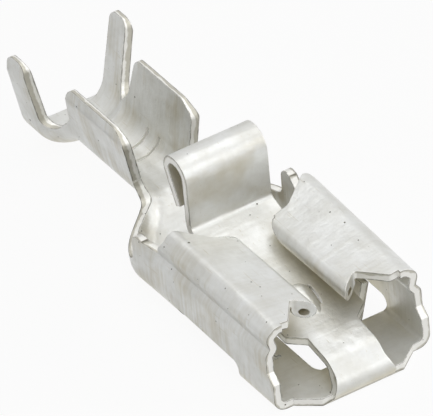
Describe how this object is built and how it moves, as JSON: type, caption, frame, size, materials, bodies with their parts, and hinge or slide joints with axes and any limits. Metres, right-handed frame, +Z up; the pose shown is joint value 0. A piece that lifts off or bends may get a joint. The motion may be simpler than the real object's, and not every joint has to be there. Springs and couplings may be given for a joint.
{
  "type": "female spade terminal",
  "caption": "Tin-plated locking female spade terminal: folded receptacle box with a sprung locking tongue and looped release lever, and open crimp barrels for wire and insulation.",
  "frame": {"origin": "middle of the footprint, on the underside of the receptacle floor", "axes": "+X out of the mouth towards the mating tab, +Y across, +Z up from the floor towards the release lever"},
  "size_m": [0.024, 0.008, 0.0068],
  "materials": {
    "tinned_brass": "satin tin plate over brass sheet"
  },
  "bodies": {
    "root": {"terminal": "tinned_brass"}
  },
  "joints": []
}
